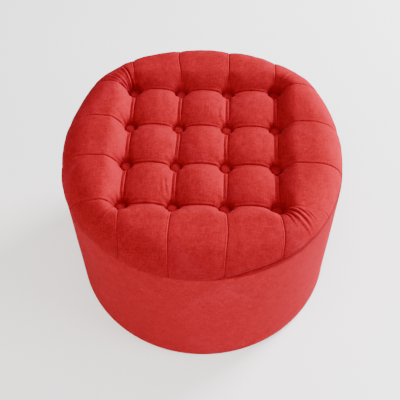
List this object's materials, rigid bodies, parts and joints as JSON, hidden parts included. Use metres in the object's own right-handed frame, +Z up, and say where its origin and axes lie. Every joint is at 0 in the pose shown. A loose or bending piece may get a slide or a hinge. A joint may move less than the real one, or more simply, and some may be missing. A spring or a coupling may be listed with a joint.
{
  "type": "storage ottoman",
  "caption": "Round storage ottoman: a velvet-covered tub with a lined storage well, closed by a thick deep-buttoned lid that lifts off.",
  "frame": {"origin": "centre of the footprint, on the floor", "axes": "+Z up; the rows of buttons run along X and Y, and -Y is taken as the front"},
  "size_m": [0.605, 0.605, 0.4352],
  "materials": {
    "velvet": "red short-pile velvet with a soft sheen",
    "lining": "plain black non-woven cloth",
    "foam": "cream open-cell foam",
    "plywood": "bare plywood",
    "hardboard": "bare brown hardboard",
    "foot_plastic": "matt black",
    "screw_steel": "zinc plated",
    "twine": "waxed natural twine"
  },
  "bodies": {
    "tub": {"base_panel": "plywood", "top_ring": "plywood", "post_1": "plywood", "post_2": "plywood", "post_3": "plywood", "post_4": "plywood", "post_5": "plywood", "post_6": "plywood", "outer_wall": "hardboard", "inner_wall": "hardboard", "side_foam": "foam", "tub_cover": "velvet", "tub_lining": "lining", "floor_pad": "lining", "dust_cover": "lining", "foot_1": "foot_plastic", "foot_2": "foot_plastic", "foot_3": "foot_plastic", "foot_4": "foot_plastic", "foot_screw_1": "screw_steel", "foot_screw_2": "screw_steel", "foot_screw_3": "screw_steel", "foot_screw_4": "screw_steel"},
    "lid": {"lid_board": "plywood", "locating_ring": "plywood", "lid_foam": "foam", "lid_cover": "velvet", "lid_lining": "lining", "button_1_1": "velvet", "button_1_2": "velvet", "button_1_3": "velvet", "button_1_4": "velvet", "button_2_1": "velvet", "button_2_2": "velvet", "button_2_3": "velvet", "button_2_4": "velvet", "button_3_1": "velvet", "button_3_2": "velvet", "button_3_3": "velvet", "button_3_4": "velvet", "button_4_1": "velvet", "button_4_2": "velvet", "button_4_3": "velvet", "button_4_4": "velvet", "twine_1_1": "twine", "twine_1_2": "twine", "twine_1_3": "twine", "twine_1_4": "twine", "twine_2_1": "twine", "twine_2_2": "twine", "twine_2_3": "twine", "twine_2_4": "twine", "twine_3_1": "twine", "twine_3_2": "twine", "twine_3_3": "twine", "twine_3_4": "twine", "twine_4_1": "twine", "twine_4_2": "twine", "twine_4_3": "twine", "twine_4_4": "twine"}
  },
  "joints": [
    {"name": "lid_lift", "type": "slide", "parent": "tub", "child": "lid", "axis": [0, 0, 1], "range_m": [0, 0.3]}
  ]
}
